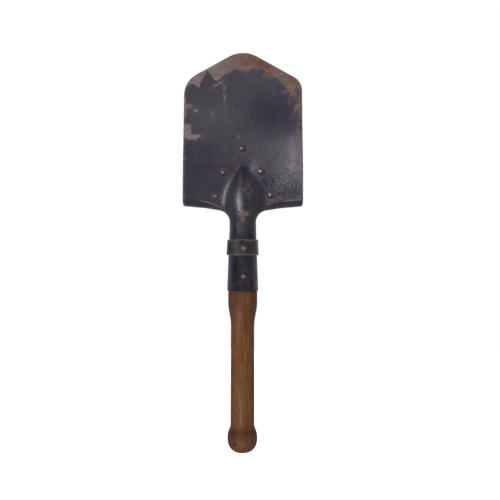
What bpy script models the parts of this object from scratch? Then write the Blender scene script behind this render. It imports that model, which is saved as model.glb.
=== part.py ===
"""Camp shovel: a pressed steel blade with its rear strap, a collar, a turned handle and seven rivets.

The blade and the strap are each one sheet. Each has a half socket that swells into a tulip-shaped
bulge, and flat wings on both sides of it. The two half sockets close round the handle.
Metres. +Z runs from the handle to the tip, and the hollow working face looks along -Y.
The origin is on the handle's axis, level with the shoulders.
"""

import math

import bmesh
import bpy
import numpy as np
from mathutils import Matrix, Vector

NAME = "camp_shovel"
GAP = 0.0003

# Blade outline
TIP_Z = 0.1964
TIP_RADIUS = 0.037
TIP_SLOPE = math.radians(29.1)
HALF_WIDTH = 0.0747
NARROWING = 0.0016
SIDE_BEND_Z = 0.060
SIDE_BEND_RADIUS = 0.9
UPPER_CORNER_RADIUS = {-1: 0.030, 1: 0.019}
LOWER_CORNER = (0.0747, 0.0052)
LOWER_CORNER_RADIUS = 0.0035
SHOULDER_BEND = (0.046, 0.0028)
SHOULDER_BEND_RADIUS = 0.080
NECK_FILLET_RADIUS = 0.015
SHOULDER_LEVEL_AT_NECK = -0.0022
WING_START = math.radians(40)

# Sheet
SHEET = 0.0018
FLANGE_Y = 0.00195
SEAM_Y = 0.0005
DISH_DEPTH = 0.0055
LOW_DISH_DEPTH = 0.0035
LOW_DISH_FROM = 0.105
LOW_DISH_TO = 0.008
TIP_TILT = 0.038
TIP_TILT_FROM = 0.088
TIP_TILT_SOFTNESS = 0.015
LIP_HEIGHT = 0.0088
LIP_SLOPE = 0.62
LIP_SOFTNESS = 0.002
LIP_FROM = 0.022
LIP_BENT_AT = 0.038
LIP_FULL = 0.054

# Socket, measured on its outer face
NECK_RADIUS = 0.01635
NECK_Z = -0.015
MOUTH_Z = -0.100
SOCKET_TAPER = 0.0360
TULIP_APEX_Z = 0.056
CROWN_FROM_Z = -0.018
FOOT_HALF_WIDTH = 0.026
STRIP_HALF_WIDTH = 0.012
BULGE_WIDEST_AT = 0.009

# Rear strap outline
STRAP_TOP = (0.0125, 0.088)
STRAP_TOP_RADIUS = 0.011
STRAP_SIDE = (0.0455, 0.020)
STRAP_SIDE_RADIUS = 0.007
STRAP_FOOT = (0.0435, 0.0126)
STRAP_FOOT_RADIUS = 0.004
STRAP_FILLET_RADIUS = 0.017
STRAP_LEVEL_AT_NECK = 0.0072

STRAP_FOOT_HALF_WIDTH = 0.0215
STRAP_STRIP_HALF_WIDTH = 0.006
STRAP_BULGE_WIDEST_AT = 0.020

# Collar
COLLAR_TOP = -0.0363
COLLAR_BOTTOM = -0.0558
COLLAR_RADII = (0.01925, 0.0202)
COLLAR_CHAMFER = 0.0006

# Rivets
BLADE_RIVETS = {
    "blade_rivet_top": (0.0, 0.0773),
    "blade_rivet_mid_left": (-0.0236, 0.0472),
    "blade_rivet_mid_right": (0.0229, 0.0488),
    "blade_rivet_low_left": (-0.0346, 0.0176),
    "blade_rivet_low_right": (0.0346, 0.0192),
}
HEAD_RADIUS = 0.00475
HEAD_HEIGHT = 0.0022
SHANK_RADIUS = 0.0025
TAIL_RADIUS = 0.0042
TAIL_HEIGHT = 0.0012
TAIL_EDGE = 0.0005
COLLAR_PIN = (0.0012, -0.047)
COLLAR_PIN_RADIUS = 0.0018
COLLAR_PIN_HEAD = (0.0035, 0.0033)
COLLAR_PIN_HEAD_HEIGHT = 0.0009
COLLAR_PIN_TAIL_RADIUS = 0.0036
SOCKET_PIN = (0.0010, -0.0825)
SOCKET_PIN_RADIUS = 0.00305
PIN_EDGE = 0.0003
ROUND_SEGMENTS = 16
BLADE_BAR = 0.012
SOCKET_BAR = 0.050

# Handle
SOCKET_CLEARANCE = 0.0005
SHOULDER_EDGE = 0.0004
GRIP_STATIONS = (-0.190, -0.230, -0.262, -0.2665, -0.2695, -0.2725, -0.2760, -0.2800)
NOSE_TOP = 0.029
NOSE_RADIUS = 0.0119
SHOULDER_RADIUS = 0.01815
WAIST_RADIUS = 0.01450
GRIP_END_RADIUS = 0.01508
FLARE_FROM = -0.111
FLARE_TO = -0.147
KNOB_Z = -0.284
KNOB_RADIUS = 0.0188
KNOB_RISE = 0.024
KNOB_DROP = 0.0194
KNOB_FULLNESS = 2.3
KNOB_FILLET = 0.0006
GRIP_END_Z = -0.2655

PAINT = ("black_paint", (0.052, 0.047, 0.060), 0.38, 0.35)
STEEL = ("worn_steel", (0.120, 0.095, 0.080), 0.45, 0.80)
WOOD = ("oiled_wood", (0.125, 0.060, 0.026), 0.42, 0.0)


def smooth(value, start, end):
    """0 before start, 1 after end, and an even S between them. start may be the larger."""
    share = min(max((value - start) / (end - start), 0.0), 1.0)
    return share**3 * (10 - 15 * share + 6 * share**2)


# ---------------------------------------------------------------- socket halves


class SocketHalf:
    """The half socket and its bulge. facing is -1 for the front half and 1 for the rear one.

    The socket's edges follow the fillet under the shoulder until it has turned by WING_START.
    The wing starts there, and the bulge's foot goes on up to its full width and then to the apex.
    """

    def __init__(self, facing, fillet_radius, level, slope, flare_to, foot_half_width, strip_half_width):
        self.facing = facing
        self.fillet_radius = fillet_radius
        self.fillet_turn = math.pi / 2 - slope
        self.fillet_bottom = level - fillet_radius * math.tan(self.fillet_turn / 2)
        self.wing_from = self.fillet_point(WING_START)[1]
        self.flare_to = flare_to
        self.foot_half_width = foot_half_width
        self.strip_half_width = strip_half_width

    def fillet_point(self, turn):
        """The point of the fillet, as |x|, z, where it has turned this far from the neck's side."""
        x = NECK_RADIUS + self.fillet_radius * (1 - math.cos(turn))
        return x, self.fillet_bottom + self.fillet_radius * math.sin(turn)

    def bulge_half_width(self, z):
        """Half the bulge's width at its foot. Below the neck it is the socket's own radius."""
        if z <= self.fillet_bottom:
            return socket_radius(z)
        if z <= self.wing_from:
            return self.fillet_point(math.asin((z - self.fillet_bottom) / self.fillet_radius))[0]
        if z <= self.flare_to:
            share = (z - self.wing_from) / (self.flare_to - self.wing_from)
            start = self.fillet_point(WING_START)[0]
            return start + (self.foot_half_width - start) * (share + share**2 - share**3)
        rise = (z - self.flare_to) / (TULIP_APEX_Z - self.flare_to)
        return self.foot_half_width * max(1 - rise**2, 0.0)

    def strip_width(self, z):
        """Half the middle strip's width: the bulge's, and a narrow band above it."""
        return max(self.bulge_half_width(z), self.strip_half_width)

    def edge_height(self, z):
        """How far the strip's edge stands off the seam plane: the seam gap below, the flange above."""
        rise = smooth(z, self.fillet_bottom, self.wing_from)
        return SEAM_Y + (FLANGE_Y - SEAM_Y) * rise

    def crown_height(self, z):
        if z <= CROWN_FROM_Z:
            return socket_radius(z)
        rise = min((z - CROWN_FROM_Z) / (TULIP_APEX_Z - CROWN_FROM_Z), 1.0)
        return FLANGE_Y + (NECK_RADIUS - FLANGE_Y) * (1 - rise**2)

    def strip_point(self, share, z):
        """A point across the strip, from share -1 at its left edge to 1 at its right edge."""
        edge = self.edge_height(z)
        pressed = smooth(z, self.fillet_bottom, self.flare_to)
        across = (1 - pressed) * math.sin(share * math.pi / 2) + pressed * share
        x = self.strip_width(z) * across
        level = max(1 - (x / max(self.bulge_half_width(z), 1e-6)) ** 2, 0.0)
        profile = (1 - pressed) * math.sqrt(level) + pressed * level
        crown = self.crown_height(z) - edge
        return Vector((x, self.facing * (edge + crown * profile) + dish(x, z), z))

    def wing_point(self, x, z):
        return Vector((x, self.facing * self.edge_height(z) + dish(x, z), z))


def socket_radius(z):
    return NECK_RADIUS + SOCKET_TAPER * max(NECK_Z - z, 0.0)


def dish(x, z):
    """The blade's hollow, which brings its sides and its tip forward, and its shoulder lip."""
    depth = DISH_DEPTH * smooth(z, NECK_Z, -NECK_Z) + LOW_DISH_DEPTH * low_dish(z)
    hollow = depth * (x / HALF_WIDTH) ** 2
    above = max(z - TIP_TILT_FROM, 0.0)
    tilt = TIP_TILT * above**2 / (above + TIP_TILT_SOFTNESS)
    return lip(x, z) - hollow - tilt


def low_dish(z):
    """The part of the hollow that deepens downwards and ends at the neck."""
    return smooth(z, LOW_DISH_FROM, LOW_DISH_TO) * smooth(z, NECK_Z, LOW_DISH_TO)


def lip(x, z):
    """The lower edge of the wings, bent to the rear. It narrows and ends towards the neck."""
    share = min(max((abs(x) - LIP_FROM) / (LIP_FULL - LIP_FROM), 0.0), 1.0)
    below = shoulder_level(abs(x)) + LIP_HEIGHT * share * (2 - share) - z
    if below <= 0:
        return 0.0
    bend = LIP_SLOPE * below**2 / (below + LIP_SOFTNESS)
    return bend * smooth(abs(x), LIP_FROM, LIP_BENT_AT)


def shoulder_level(x):
    """The height of the straight stretches of the shoulder's lower edge."""
    bend_x, bend_z = SHOULDER_BEND
    if x < bend_x:
        return SHOULDER_LEVEL_AT_NECK + (bend_z - SHOULDER_LEVEL_AT_NECK) * x / bend_x
    rise = (x - bend_x) / (LOWER_CORNER[0] - bend_x)
    return bend_z + (LOWER_CORNER[1] - bend_z) * rise


def slope_between(level_at_neck, outer):
    return math.atan2(outer[1] - level_at_neck, outer[0] - NECK_RADIUS)


FRONT = SocketHalf(
    facing=-1,
    fillet_radius=NECK_FILLET_RADIUS,
    level=SHOULDER_LEVEL_AT_NECK,
    slope=slope_between(SHOULDER_LEVEL_AT_NECK, SHOULDER_BEND),
    flare_to=BULGE_WIDEST_AT,
    foot_half_width=FOOT_HALF_WIDTH,
    strip_half_width=STRIP_HALF_WIDTH,
)
REAR = SocketHalf(
    facing=1,
    fillet_radius=STRAP_FILLET_RADIUS,
    level=STRAP_LEVEL_AT_NECK,
    slope=slope_between(STRAP_LEVEL_AT_NECK, STRAP_FOOT),
    flare_to=STRAP_BULGE_WIDEST_AT,
    foot_half_width=STRAP_FOOT_HALF_WIDTH,
    strip_half_width=STRAP_STRIP_HALF_WIDTH,
)


# ---------------------------------------------------------------- outlines


def rounded_path(corners, arc_points=7):
    """A path through (point, radius) corners, with an arc at each corner that has a radius."""
    path = [np.array(corners[0][0])]
    for before, (corner, radius), after in zip(corners, corners[1:], corners[2:]):
        path += corner_arc(before[0], corner, after[0], radius, arc_points)
    path.append(np.array(corners[-1][0]))
    return np.array(path)


def corner_arc(before, corner, after, radius, count):
    corner = np.array(corner)
    inward = np.array(before) - corner
    onward = np.array(after) - corner
    inward = inward / np.linalg.norm(inward)
    onward = onward / np.linalg.norm(onward)
    half_angle = math.acos(np.clip(inward @ onward, -1, 1)) / 2
    if radius == 0 or half_angle > math.radians(89.9):
        return [corner]
    middle = (inward + onward) / np.linalg.norm(inward + onward)
    centre = corner + middle * radius / math.sin(half_angle)
    start = corner + inward * radius / math.tan(half_angle) - centre
    turn = math.pi - 2 * half_angle
    side = math.copysign(1, start[0] * onward[1] - start[1] * onward[0])
    arc = []
    for step in np.linspace(0, turn * side, count):
        spin = np.array([[math.cos(step), -math.sin(step)], [math.sin(step), math.cos(step)]])
        arc.append(centre + spin @ start)
    return arc


def shares_along(path):
    """How far along the path each vertex is, as a share of its length."""
    lengths = np.linalg.norm(np.diff(path, axis=0), axis=1)
    return np.concatenate([[0], np.cumsum(lengths)]) / lengths.sum()


def stretch(path, start, end, shares):
    """Points between two places on the path, at these shares of the way from start to end."""
    at = shares_along(path)
    wanted = start + (end - start) * shares
    return np.column_stack([np.interp(wanted, at, path[:, 0]), np.interp(wanted, at, path[:, 1])])


def share_near(path, point):
    """How far along the path the vertex nearest to the point is."""
    nearest = np.argmin(np.linalg.norm(path - np.array(point), axis=1))
    return shares_along(path)[nearest]


def tip_height(x):
    """The height of the tip edge: a round nose, then a straight slope."""
    tangent = TIP_RADIUS * math.sin(TIP_SLOPE)
    centre = TIP_Z - TIP_RADIUS
    if abs(x) < tangent:
        return centre + math.sqrt(TIP_RADIUS**2 - x**2)
    return centre + TIP_RADIUS * math.cos(TIP_SLOPE) - (abs(x) - tangent) * math.tan(TIP_SLOPE)


def with_fillet(corners, half, steps=7):
    """The rounded path, then the fillet down to where the wing starts."""
    turns = np.linspace(half.fillet_turn, WING_START, steps)
    fillet = [half.fillet_point(turn) for turn in turns]
    return np.vstack([rounded_path(corners + [(fillet[0], 0)]), fillet[1:]])


def blade_outline(side):
    """Half the outline as |x|, z, from the strip's top to the neck, and its two corners."""
    tangent = TIP_RADIUS * math.sin(TIP_SLOPE)
    corners = []
    for x in np.linspace(FRONT.strip_half_width, tangent, 3):
        corners.append(((x, tip_height(x)), 0))
    upper_x = HALF_WIDTH - NARROWING
    upper = (upper_x, tip_height(upper_x))
    corners.append((upper, UPPER_CORNER_RADIUS[side]))
    corners.append(((HALF_WIDTH, SIDE_BEND_Z), SIDE_BEND_RADIUS))
    corners.append((LOWER_CORNER, LOWER_CORNER_RADIUS))
    corners.append((SHOULDER_BEND, SHOULDER_BEND_RADIUS))
    return with_fillet(corners, FRONT), upper, LOWER_CORNER


def strap_outline(_side):
    """The same for the rear strap, a shield that is alike on both sides and clear of the blade's lip."""
    corners = [
        ((REAR.strip_half_width, STRAP_TOP[1]), 0),
        (STRAP_TOP, STRAP_TOP_RADIUS),
        (STRAP_SIDE, STRAP_SIDE_RADIUS),
        (STRAP_FOOT, STRAP_FOOT_RADIUS),
    ]
    return with_fillet(corners, REAR), STRAP_TOP, STRAP_FOOT


# ---------------------------------------------------------------- sheets


def sheet_grid(half, outline, top_height, socket_rows, wing_rows, strip_steps, wing_steps):
    """A bmesh of the open sheet: the middle strip with a wing on each side of it."""
    grid = bmesh.new()
    across = np.linspace(-1, 1, strip_steps + 1)
    strip = []
    for z in np.linspace(MOUTH_Z, half.fillet_bottom, socket_rows):
        strip.append([grid.verts.new(half.strip_point(share, z)) for share in across])
    for z in np.linspace(half.fillet_bottom, half.wing_from, 4)[1:-1]:
        strip.append([grid.verts.new(half.strip_point(share, z)) for share in across])
    wing_start = len(strip)
    for rise in row_shares(wing_rows):
        tops = [top_height(share * half.strip_half_width) for share in across]
        levels = [half.wing_from + (top - half.wing_from) * rise for top in tops]
        row = [half.strip_point(share, z) for share, z in zip(across, levels)]
        strip.append([grid.verts.new(point) for point in row])
    join_rows(grid, strip)
    for side, end in ((-1, 0), (1, -1)):
        column = [row[end] for row in strip[wing_start:]]
        add_wing(grid, half, outline(side), side, column, wing_steps)
    return grid


def row_shares(count):
    """From 0 to 1, with the rows closer together near the neck, where the sheet bends most."""
    even = np.linspace(0, 1, count + 1)
    return 0.3 * even + 0.7 * even**2


def join_rows(grid, rows):
    for lower, upper in zip(rows, rows[1:]):
        for corners in zip(lower, lower[1:], upper[1:], upper):
            grid.faces.new(corners)


def add_wing(grid, half, outline, side, column, steps):
    """Fills between the strip's edge and the outline: a patch blended between its four edges."""
    path, upper, lower = outline
    upper_share = share_near(path, upper)
    lower_share = share_near(path, lower)
    rises = row_shares(len(column) - 1)
    outs = np.linspace(0, 1, steps + 1)
    inner = np.array([(abs(vertex.co.x), vertex.co.z) for vertex in column])
    outer = stretch(path, lower_share, upper_share, rises)
    bottom = stretch(path, 1, lower_share, outs)
    top = stretch(path, 0, upper_share, outs)
    rows = []
    for j, rise in enumerate(rises):
        row = [column[j]]
        for i, out in list(enumerate(outs))[1:]:
            sides = (1 - out) * inner[j] + out * outer[j]
            ends = (1 - rise) * bottom[i] + rise * top[i]
            low_corners = (1 - out) * bottom[0] + out * bottom[-1]
            high_corners = (1 - out) * top[0] + out * top[-1]
            x, z = sides + ends - (1 - rise) * low_corners - rise * high_corners
            row.append(grid.verts.new(half.wing_point(side * x, z)))
        rows.append(row if side > 0 else row[::-1])
    join_rows(grid, rows)


def make_sheet(name, half, grid, material):
    """The sheet as a solid: its outer face is the grid, and its thickness goes inwards."""
    if half.facing > 0:
        bmesh.ops.reverse_faces(grid, faces=grid.faces)
    sheet = new_object(name, grid, material)
    sheet.data.shade_smooth()
    solid = sheet.modifiers.new("thickness", "SOLIDIFY")
    solid.thickness = SHEET
    solid.offset = -1
    return sheet


# ---------------------------------------------------------------- turned pieces


def new_object(name, grid, material):
    mesh = bpy.data.meshes.new(name)
    grid.to_mesh(mesh)
    grid.free()
    piece = bpy.data.objects.new(name, mesh)
    bpy.data.collections[NAME].objects.link(piece)
    piece.data.materials.append(material)
    return piece


def turned(name, profile, material, steps):
    """A profile of (radius, z) points spun round Z. It runs down the outer side."""
    grid = bmesh.new()
    points = [grid.verts.new((radius, 0, z)) for radius, z in profile]
    for a, b in zip(points, points[1:]):
        grid.edges.new((a, b))
    piece = new_object(name, grid, material)
    spin = piece.modifiers.new("spin", "SCREW")
    spin.steps = steps
    spin.render_steps = steps
    spin.use_merge_vertices = True
    spin.merge_threshold = 0.00001
    return piece


def closed(profile):
    return profile + profile[:1]


def collar_profile():
    top, bottom = COLLAR_TOP, COLLAR_BOTTOM
    inner_top = socket_radius(top) + GAP
    inner_bottom = socket_radius(bottom) + GAP
    chamfer = COLLAR_CHAMFER
    outer_top, outer_bottom = COLLAR_RADII
    return closed(
        [
            (outer_top - chamfer, top),
            (outer_top, top - chamfer),
            (outer_bottom, bottom + chamfer),
            (outer_bottom - chamfer, bottom),
            (inner_bottom, bottom),
            (inner_top, top),
        ]
    )


def handle_radius(z):
    """The handle's radius below the socket: shoulder, flare, grip, then the knob's upper side."""
    flare = smooth(z, FLARE_FROM, FLARE_TO)
    taper = (FLARE_TO - z) / (FLARE_TO - GRIP_END_Z)
    grip = WAIST_RADIUS + (GRIP_END_RADIUS - WAIST_RADIUS) * max(taper, 0.0)
    radius = SHOULDER_RADIUS + (grip - SHOULDER_RADIUS) * flare
    return soft_maximum(radius, knob_radius(z))


def knob_radius(z):
    height = KNOB_RISE if z > KNOB_Z else KNOB_DROP
    power = 2.0 if z > KNOB_Z else KNOB_FULLNESS
    share = min(abs(z - KNOB_Z) / height, 1.0)
    return KNOB_RADIUS * (1 - share**power) ** (1 / power)


def soft_maximum(a, b):
    """The larger of two radii, with a small fillet where they are alike."""
    return (a + b + math.sqrt((a - b) ** 2 + KNOB_FILLET**2)) / 2


def handle_profile():
    mouth = MOUTH_Z - GAP
    profile = []
    for angle in np.linspace(0, math.pi / 2, 8):
        profile.append((NOSE_RADIUS * math.sin(angle), NOSE_TOP * math.cos(angle)))
    profile[0] = (0.0, NOSE_TOP)
    for z in (NECK_Z, MOUTH_Z):
        profile.append((socket_radius(z) - SHEET - SOCKET_CLEARANCE, z))
    profile.append((socket_radius(MOUTH_Z) - SHEET - SOCKET_CLEARANCE, mouth))
    profile.append((SHOULDER_RADIUS - SHOULDER_EDGE, mouth))
    profile.append((SHOULDER_RADIUS, mouth - SHOULDER_EDGE))
    for z in np.linspace(FLARE_FROM, FLARE_TO, 9):
        profile.append((handle_radius(z), z))
    for z in GRIP_STATIONS:
        profile.append((handle_radius(z), z))
    for angle in np.linspace(0, math.pi / 2, 9):
        z = KNOB_Z - KNOB_DROP * math.sin(angle)
        profile.append((knob_radius(z), z))
    profile[-1] = (0.0, KNOB_Z - KNOB_DROP)
    return profile


# ---------------------------------------------------------------- rivets


def rivet_profile(grip):
    """A domed head above the sheets, a shank through them, and a flat tail. grip is the sheets' depth."""
    profile = []
    for angle in np.linspace(0, math.radians(80), 5):
        radius = HEAD_RADIUS * math.sin(angle)
        profile.append((radius, GAP + HEAD_HEIGHT * math.cos(angle)))
    profile += [
        (HEAD_RADIUS, GAP),
        (SHANK_RADIUS, GAP),
        (SHANK_RADIUS, -grip - GAP),
        (TAIL_RADIUS, -grip - GAP),
        (TAIL_RADIUS, -grip - GAP - 0.7 * TAIL_HEIGHT),
        (TAIL_RADIUS - TAIL_EDGE, -grip - GAP - TAIL_HEIGHT),
        (0.0, -grip - GAP - TAIL_HEIGHT),
    ]
    profile[0] = (0.0, profile[0][1])
    return profile


def place_outwards(piece, point, normal):
    """Puts the piece's own Z along the normal, which looks out of the working face."""
    turn = Vector(normal).to_track_quat("Z", "Y").to_matrix().to_4x4()
    piece.matrix_world = Matrix.Translation(point) @ turn


def face_normal(x, z):
    step = 0.0005
    across = FRONT.wing_point(x + step, z) - FRONT.wing_point(x - step, z)
    along = FRONT.wing_point(x, z + step) - FRONT.wing_point(x, z - step)
    return across.cross(along).normalized()


def ring(grid, radius_x, radius_y, z, diamond):
    """A ring of vertices at height z: an ellipse, or a diamond with its corners on the axes."""
    vertices = []
    for step in range(ROUND_SEGMENTS):
        angle = 2 * math.pi * step / ROUND_SEGMENTS
        x, y = math.cos(angle), math.sin(angle)
        reach = 1 / (abs(x) + abs(y)) if diamond else 1
        vertices.append(grid.verts.new((radius_x * x * reach, radius_y * y * reach, z)))
    return vertices


def lofted(name, rings, material):
    """A closed solid through rings given top to bottom as (radius x, radius y, z, diamond)."""
    grid = bmesh.new()
    loops = [ring(grid, *section) for section in rings]
    for upper, lower in zip(loops, loops[1:]):
        for i in range(ROUND_SEGMENTS):
            j = (i + 1) % ROUND_SEGMENTS
            grid.faces.new((upper[i], lower[i], lower[j], upper[j]))
    grid.faces.new(loops[0])
    grid.faces.new(loops[-1][::-1])
    return new_object(name, grid, material)


def collar_pin(material):
    """The collar's pin. Its front end is hammered to a low diamond, and its rear end is flat and round."""
    front = collar_face(COLLAR_PIN[1]) + GAP
    wide, tall = COLLAR_PIN_HEAD
    height = COLLAR_PIN_HEAD_HEIGHT
    shank = COLLAR_PIN_RADIUS
    tail = COLLAR_PIN_TAIL_RADIUS
    rings = [
        (wide / 2, tall / 2, front + height, True),
        (wide, tall, front + PIN_EDGE, True),
        (wide, tall, front, True),
        (shank, shank, front, False),
        (shank, shank, -front, False),
        (tail, tail, -front, False),
        (tail, tail, -front - height + PIN_EDGE, False),
        (tail - PIN_EDGE, tail - PIN_EDGE, -front - height, False),
    ]
    return lofted("collar_rivet", rings, material)


def socket_pin(material):
    """The pin through the lower socket, ground flush with the socket's face at both ends."""
    reach = socket_radius(SOCKET_PIN[1])
    radius = SOCKET_PIN_RADIUS
    rings = [
        (radius - PIN_EDGE, radius - PIN_EDGE, reach, False),
        (radius, radius, reach - PIN_EDGE, False),
        (radius, radius, -reach + PIN_EDGE, False),
        (radius - PIN_EDGE, radius - PIN_EDGE, -reach, False),
    ]
    return lofted("socket_rivet", rings, material)


def collar_face(z):
    """The collar's outer radius at a height."""
    share = (COLLAR_TOP - z) / (COLLAR_TOP - COLLAR_BOTTOM)
    return COLLAR_RADII[0] + (COLLAR_RADII[1] - COLLAR_RADII[0]) * share


def hole_cutter():
    """One hidden object with a round bar for each rivet hole, wider than the shank by the gap."""
    grid = bmesh.new()
    for x, z in BLADE_RIVETS.values():
        add_bar(grid, FRONT.wing_point(x, z), face_normal(x, z), SHANK_RADIUS + GAP, BLADE_BAR)
    for (x, z), radius in ((COLLAR_PIN, COLLAR_PIN_RADIUS), (SOCKET_PIN, SOCKET_PIN_RADIUS)):
        add_bar(grid, (x, 0, z), (0, -1, 0), radius + GAP, SOCKET_BAR)
    mesh = bpy.data.meshes.new("rivet_holes")
    grid.to_mesh(mesh)
    grid.free()
    cutter = bpy.data.objects.new("rivet_holes", mesh)
    cutter.hide_render = True
    cutter.display_type = "WIRE"
    bpy.data.collections["cutters"].objects.link(cutter)
    return cutter


def add_bar(grid, centre, direction, radius, length):
    turn = Vector(direction).to_track_quat("Z", "Y").to_matrix().to_4x4()
    bmesh.ops.create_cone(
        grid,
        cap_ends=True,
        segments=ROUND_SEGMENTS,
        radius1=radius,
        radius2=radius,
        depth=length,
        matrix=Matrix.Translation(centre) @ turn,
    )


def drill(piece, cutter):
    hole = piece.modifiers.new("rivet_holes", "BOOLEAN")
    hole.operation = "DIFFERENCE"
    hole.object = cutter


# ---------------------------------------------------------------- assembly


def clear_scene():
    for item in list(bpy.data.objects):
        bpy.data.objects.remove(item, do_unlink=True)
    for title in (NAME, "cutters"):
        collection = bpy.data.collections.new(title)
        bpy.context.scene.collection.children.link(collection)
    bpy.data.collections["cutters"].hide_render = True


def new_material(title, colour, roughness, metallic):
    material = bpy.data.materials.new(title)
    material.use_nodes = True
    shader = material.node_tree.nodes["Principled BSDF"]
    shader.inputs["Base Color"].default_value = (*colour, 1)
    shader.inputs["Roughness"].default_value = roughness
    shader.inputs["Metallic"].default_value = metallic
    return material


def make_rivets(material):
    for name, (x, z) in BLADE_RIVETS.items():
        grip = 2 * FLANGE_Y
        rivet = turned(name, rivet_profile(grip), material, ROUND_SEGMENTS)
        place_outwards(rivet, FRONT.wing_point(x, z), face_normal(x, z))
    for pin, (x, z) in ((collar_pin(material), COLLAR_PIN), (socket_pin(material), SOCKET_PIN)):
        place_outwards(pin, Vector((x, 0, z)), (0, -1, 0))


def main():
    clear_scene()
    paint = new_material(*PAINT)
    steel = new_material(*STEEL)
    wood = new_material(*WOOD)
    cutter = hole_cutter()
    blade_grid = sheet_grid(FRONT, blade_outline, tip_height, 6, 28, 14, 9)
    strap_grid = sheet_grid(REAR, strap_outline, lambda x: STRAP_TOP[1], 6, 16, 14, 5)
    blade = make_sheet("blade", FRONT, blade_grid, paint)
    strap = make_sheet("rear_strap", REAR, strap_grid, paint)
    collar = turned("collar", collar_profile(), paint, 40)
    handle = turned("handle", handle_profile(), wood, 28)
    for piece in (blade, strap, collar, handle):
        drill(piece, cutter)
    make_rivets(steel)


main()
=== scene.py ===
"""Camp shovel, visual model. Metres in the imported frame: +Z to the tip, the working face looks along -Y."""

import math

import bmesh
import bpy
import numpy as np
from mathutils import Matrix, Vector, noise


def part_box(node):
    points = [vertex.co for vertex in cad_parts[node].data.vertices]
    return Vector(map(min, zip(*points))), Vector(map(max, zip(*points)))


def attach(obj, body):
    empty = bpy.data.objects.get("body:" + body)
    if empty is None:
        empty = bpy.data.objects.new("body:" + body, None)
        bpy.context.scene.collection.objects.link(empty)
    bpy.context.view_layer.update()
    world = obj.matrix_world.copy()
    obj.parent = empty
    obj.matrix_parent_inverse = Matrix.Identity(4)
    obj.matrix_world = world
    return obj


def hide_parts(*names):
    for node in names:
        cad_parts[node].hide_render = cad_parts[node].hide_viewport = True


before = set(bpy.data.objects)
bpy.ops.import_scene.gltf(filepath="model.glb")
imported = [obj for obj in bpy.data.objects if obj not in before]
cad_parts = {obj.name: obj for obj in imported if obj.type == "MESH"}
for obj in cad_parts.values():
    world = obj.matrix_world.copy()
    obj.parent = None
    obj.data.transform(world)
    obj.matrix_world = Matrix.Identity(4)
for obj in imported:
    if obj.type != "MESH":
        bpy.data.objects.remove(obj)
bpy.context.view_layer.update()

MM = 0.001

# ---------------- sizes read from the frame

COLLAR_LOW, COLLAR_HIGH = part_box("collar")
HANDLE_LOW, HANDLE_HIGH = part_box("handle")

# The pressings' own dimensions, as in the CAD. The corner curves are a point and the radius there.
TIP_Z = 0.1964
TIP_RADIUS = 0.037
TIP_SLOPE = math.radians(29.1)
HALF_WIDTH = 0.0747
NARROWING = 0.0016
UPPER_CORNER_RADIUS = {-1: 0.030, 1: 0.019}
LOWER_CORNER = (0.0747, 0.0052)
LOWER_CORNER_RADIUS = 0.0035
SIDE_CURVE = ((HALF_WIDTH, 0.060), 0.9)
SHOULDER_BEND = (0.046, 0.0028)
SHOULDER_BEND_RADIUS = 0.080
SHOULDER_AT_NECK = -0.0022
STRAP_AT_NECK = 0.0072
STRAP_FOOT = (0.0435, 0.0126)
STRAP_FOOT_RADIUS = 0.004
STRAP_SIDE = ((0.0455, 0.020), 0.007)
STRAP_TOP = (0.0125, 0.088)
STRAP_TOP_RADIUS = 0.011
WING_START = math.radians(40)
SHEET = 0.0018
FLANGE_Y = 0.00195
SEAM_Y = 0.0005
DISH_DEPTH = 0.0055
LOW_DISH_DEPTH = 0.0035
LOW_DISH_FROM, LOW_DISH_TO = 0.105, 0.008
TIP_TILT = 0.038
TIP_TILT_FROM = 0.088
TIP_TILT_SOFTNESS = 0.015
LIP_HEIGHT = 0.0088
LIP_SLOPE = 0.62
LIP_SOFTNESS = 0.002
LIP_FROM, LIP_BENT_AT, LIP_FULL = 0.022, 0.038, 0.054
NECK_RADIUS = 0.01635
NECK_Z = -0.015
MOUTH_Z = -0.100
SOCKET_TAPER = 0.0360
TULIP_APEX_Z = 0.056
CROWN_FROM_Z = -0.018
FOOT_FILLET = 0.0026
# Row spacing, columns in the middle strip, columns in each wing.
BLADE_MESH = (0.00105, 56, 58)
STRAP_MESH = (0.0013, 40, 20)
RIVETS = {
    "top": (0.0, 0.0773),
    "mid_left": (-0.0236, 0.0472),
    "mid_right": (0.0229, 0.0488),
    "low_left": (-0.0346, 0.0176),
    "low_right": (0.0346, 0.0192),
}
COLLAR_PIN = (0.0012, -0.047)
SOCKET_PIN = (0.0010, -0.0825)
COLLAR_TAPER = 0.00095
STAKE_MM = (0.5, -39.4)

# The handle, from the shoulder at the socket's mouth through the flare and the grip to the ball.
SHOULDER_RADIUS = 0.01815
FLARE_FROM, FLARE_TO = -0.111, -0.147
GRIP_RADIUS = 0.0145
GRIP_LENGTH = 0.1185
GRIP_SWELL = 0.00058
BALL_Z = -0.284
BALL_ABOVE, BALL_BELOW = 0.024, 0.0194
NAIL_MM = (-8.8, -290.6)

# ---------------- numbers and noise


def smooth(value, start, end):
    share = np.clip((value - start) / (end - start), 0.0, 1.0)
    return share**3 * (10 - 15 * share + 6 * share**2)


def wobble(x, y, z, size, seed=0.0):
    """Smooth noise from -1 to 1 whose features are about size metres wide."""
    points = np.column_stack([np.ravel(x), np.ravel(y), np.ravel(z)]) / size + seed
    values = [noise.noise(Vector(point)) for point in points]
    return np.array(values).reshape(np.shape(x))


def ellipse_reach(x, z, centre, radii, tilt):
    """The squared distance from an ellipse's centre, 1 at its edge. In millimetres, tilt in degrees."""
    turn = math.radians(tilt)
    dx, dz = x - centre[0], z - centre[1]
    along = dx * math.cos(turn) + dz * math.sin(turn)
    across = dz * math.cos(turn) - dx * math.sin(turn)
    return (along / radii[0]) ** 2 + (across / radii[1]) ** 2


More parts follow.
